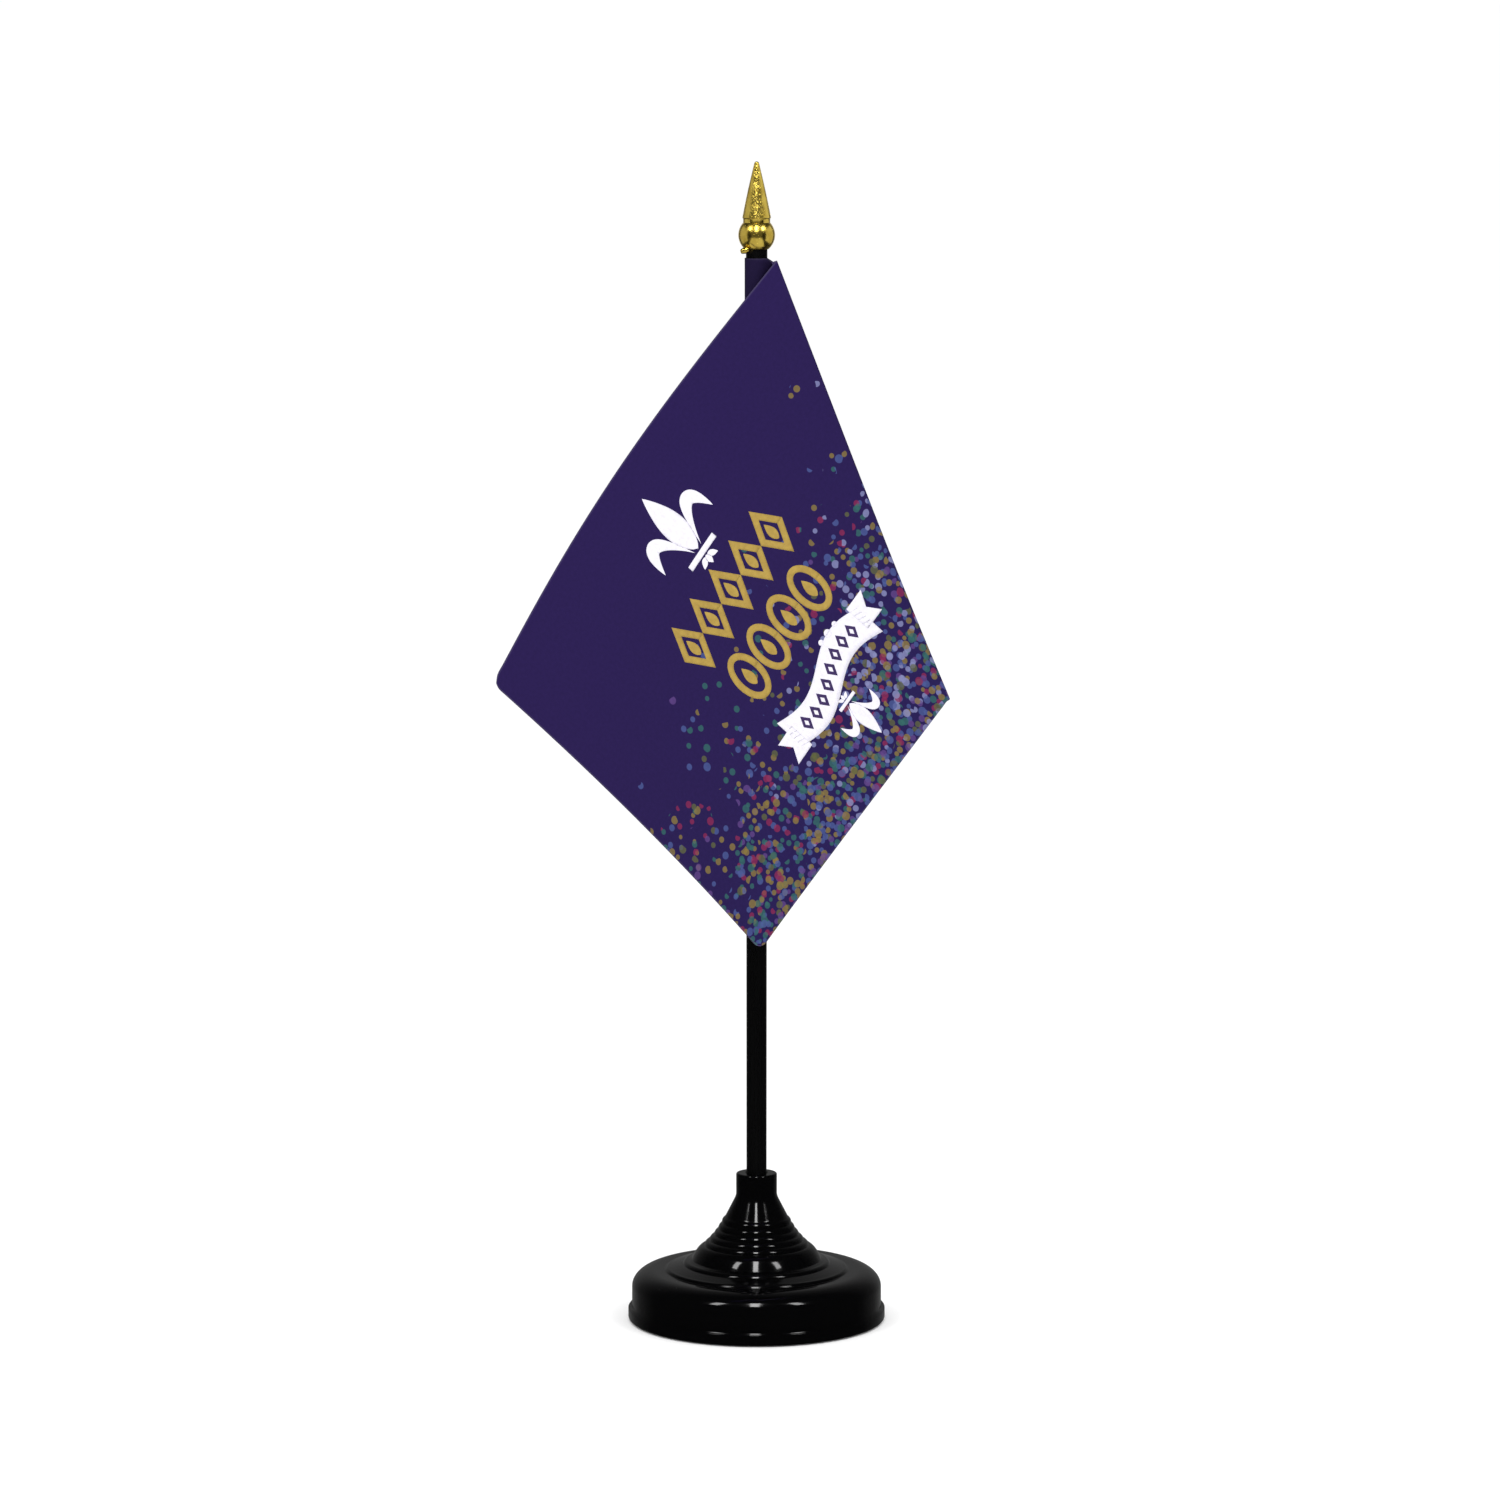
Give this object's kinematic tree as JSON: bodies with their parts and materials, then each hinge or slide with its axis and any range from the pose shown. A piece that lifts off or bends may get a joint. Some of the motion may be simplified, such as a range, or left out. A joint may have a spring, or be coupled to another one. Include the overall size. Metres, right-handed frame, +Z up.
{
  "type": "desk flag stand",
  "caption": "Small table flag: a draped cloth flag sleeved on a slim pole with a gilt spear finial, standing in a weighted, stepped round base.",
  "frame": {"origin": "centre of the base's underside, on the surface that the stand rests on", "axes": "+Z up along the pole, +X towards the side that the folded flag hangs to, -Y towards the side that the flag's front faces"},
  "size_m": [0.1093, 0.105, 0.2916],
  "materials": {
    "base_black": "glossy moulded black polystyrene",
    "cover_black": "finely textured black",
    "ballast_steel": "plain sawn and pressed steel",
    "pole_black": "satin black",
    "finial_gilt": "vacuum-metallised gold, lacquered",
    "flag_cloth": "purple printed satin polyester"
  },
  "bodies": {
    "base": {"base_shell": "base_black", "bottom_cover": "cover_black", "ballast_ring": "ballast_steel"},
    "pole_body": {"pole": "pole_black"},
    "finial_body": {"finial": "finial_gilt"},
    "flag_body": {"flag_sleeve": "flag_cloth", "flag_panel": "flag_cloth"}
  },
  "joints": [
    {"name": "pole_lift", "type": "slide", "parent": "base", "child": "pole_body", "axis": [0, 0, 1], "range_m": [0, 0.036]},
    {"name": "finial_pull", "type": "slide", "parent": "pole_body", "child": "finial_body", "axis": [0, 0, 1], "range_m": [0, 0.008]},
    {"name": "flag_swivel", "type": "hinge", "parent": "pole_body", "child": "flag_body", "pos_m": [0, 0, 0.2678], "axis": [0, 0, 1], "continuous": true}
  ]
}
